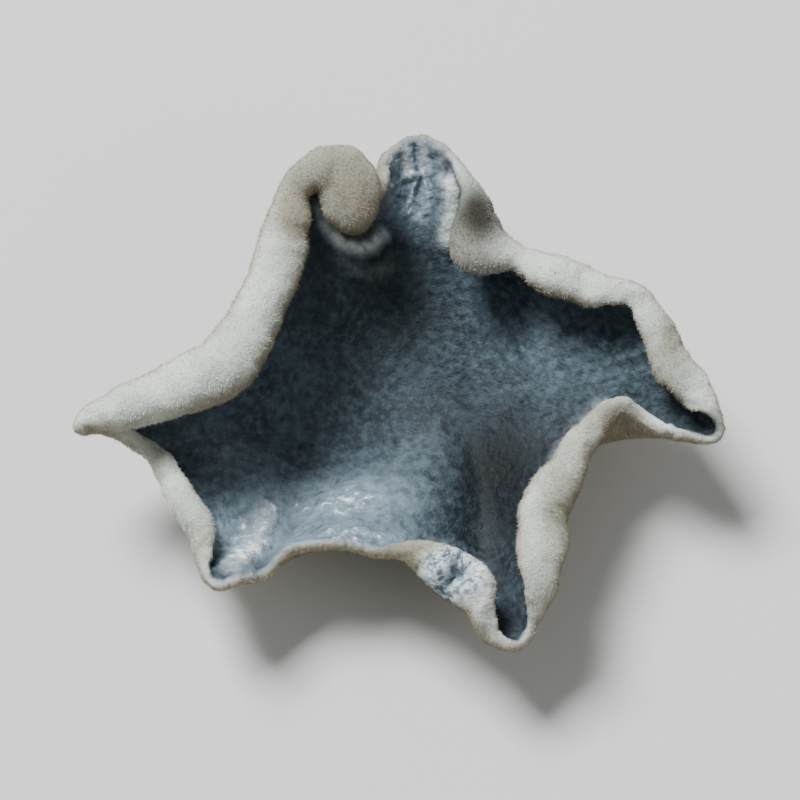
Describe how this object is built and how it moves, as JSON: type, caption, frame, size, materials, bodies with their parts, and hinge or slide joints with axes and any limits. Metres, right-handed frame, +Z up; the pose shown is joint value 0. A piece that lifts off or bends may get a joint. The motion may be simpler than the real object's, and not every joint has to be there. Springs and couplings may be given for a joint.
{
  "type": "dried wood ear mushroom",
  "caption": "Dried wood ear: a thin leathery star-shaped cup, dark inside and pale felted outside, with margins rolled inward and a short cut foot to rest on.",
  "frame": {"origin": "on the resting plane, below the middle of the cup's outline", "axes": "+X towards the long right tip, +Y towards the neck and the cut foot, +Z up out of the cup"},
  "size_m": [0.0298, 0.0248, 0.0093],
  "materials": {
    "wood_ear": "matt to satin, slate dark inside the cup, pale grey felt on the outside and on the rolled margins"
  },
  "bodies": {
    "root": {"wood_ear": "wood_ear"}
  },
  "joints": []
}
